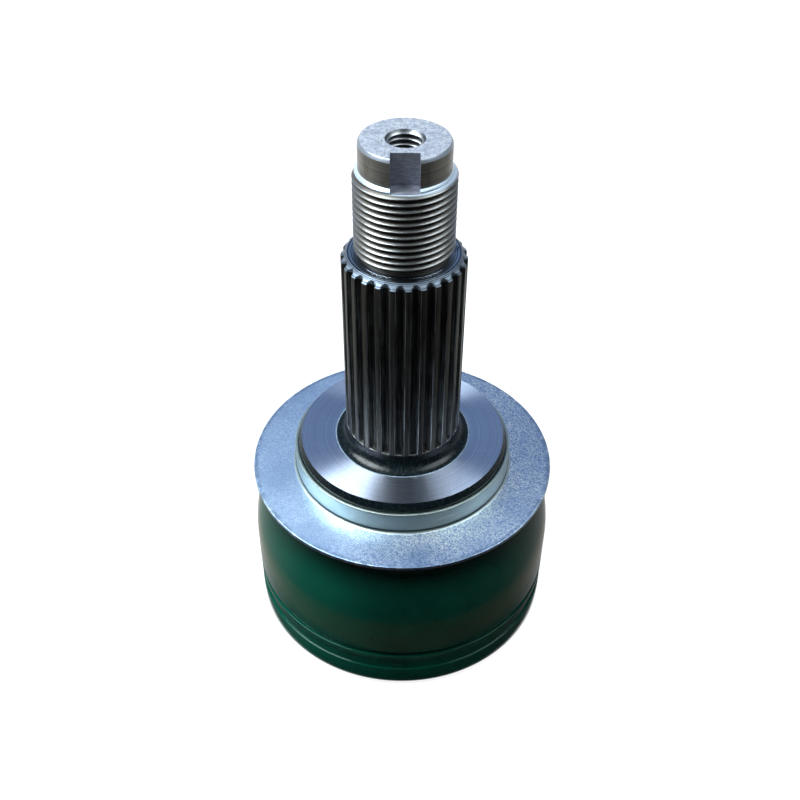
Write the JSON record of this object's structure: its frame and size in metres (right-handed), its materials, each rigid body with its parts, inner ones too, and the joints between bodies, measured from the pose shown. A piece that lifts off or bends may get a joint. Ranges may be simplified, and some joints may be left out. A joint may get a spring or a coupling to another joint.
{
  "type": "cv joint",
  "caption": "Fixed-ball constant-velocity joint: bell with splined, threaded stub axle, dust deflector, and a caged ball set that lets the inner race tilt.",
  "frame": {"origin": "middle of the mouth plane of the bell, which the joint stands on", "axes": "+Z along the stem from the bell's mouth to the nose, the slot in the nose faces -Y, +X completes the frame and is the axis of the tilt"},
  "size_m": [0.0764, 0.0764, 0.1315],
  "materials": {
    "green_lacquer": "gloss",
    "zinc_plate": "satin",
    "turned_steel": "satin",
    "dark_steel": "satin",
    "ball_steel": "polished",
    "spring_steel": "satin"
  },
  "bodies": {
    "outer_race": {"outer_race": "green_lacquer", "dust_deflector": "zinc_plate"},
    "inner_race": {"inner_race": "turned_steel", "retaining_circlip": "spring_steel"},
    "cage": {"cage": "dark_steel"},
    "ball_1": {"ball_1": "ball_steel"},
    "ball_2": {"ball_2": "ball_steel"},
    "ball_3": {"ball_3": "ball_steel"},
    "ball_4": {"ball_4": "ball_steel"},
    "ball_5": {"ball_5": "ball_steel"},
    "ball_6": {"ball_6": "ball_steel"}
  },
  "joints": [
    {"name": "articulation", "type": "hinge", "parent": "outer_race", "child": "inner_race", "pos_m": [0, 0, 0.022], "axis": [1, 0, 0], "range_deg": [-42, 42]},
    {"name": "cage_tilt", "type": "hinge", "parent": "outer_race", "child": "cage", "pos_m": [0, 0, 0.022], "axis": [1, 0, 0], "range_deg": [-21, 21]},
    {"name": "ball_1_travel", "type": "hinge", "parent": "outer_race", "child": "ball_1", "pos_m": [0, 0, 0.0188], "axis": [1, 0, 0], "range_deg": [-21, 21]},
    {"name": "ball_2_travel", "type": "hinge", "parent": "outer_race", "child": "ball_2", "pos_m": [0, 0, 0.0188], "axis": [0.5, 0.866, 0], "range_deg": [-11, 11]},
    {"name": "ball_3_travel", "type": "hinge", "parent": "outer_race", "child": "ball_3", "pos_m": [0, 0, 0.0188], "axis": [-0.5, 0.866, 0], "range_deg": [-11, 11]},
    {"name": "ball_4_travel", "type": "hinge", "parent": "outer_race", "child": "ball_4", "pos_m": [0, 0, 0.0188], "axis": [-1, 0, 0], "range_deg": [-21, 21]},
    {"name": "ball_5_travel", "type": "hinge", "parent": "outer_race", "child": "ball_5", "pos_m": [0, 0, 0.0188], "axis": [-0.5, -0.866, 0], "range_deg": [-11, 11]},
    {"name": "ball_6_travel", "type": "hinge", "parent": "outer_race", "child": "ball_6", "pos_m": [0, 0, 0.0188], "axis": [0.5, -0.866, 0], "range_deg": [-11, 11]}
  ],
  "couplings": [
    {"joint": "cage_tilt", "follows": "articulation", "ratio": 0.5},
    {"joint": "ball_1_travel", "follows": "articulation", "ratio": 0.5},
    {"joint": "ball_2_travel", "follows": "articulation", "ratio": 0.26},
    {"joint": "ball_3_travel", "follows": "articulation", "ratio": -0.26},
    {"joint": "ball_4_travel", "follows": "articulation", "ratio": -0.5},
    {"joint": "ball_5_travel", "follows": "articulation", "ratio": -0.26},
    {"joint": "ball_6_travel", "follows": "articulation", "ratio": 0.26}
  ]
}
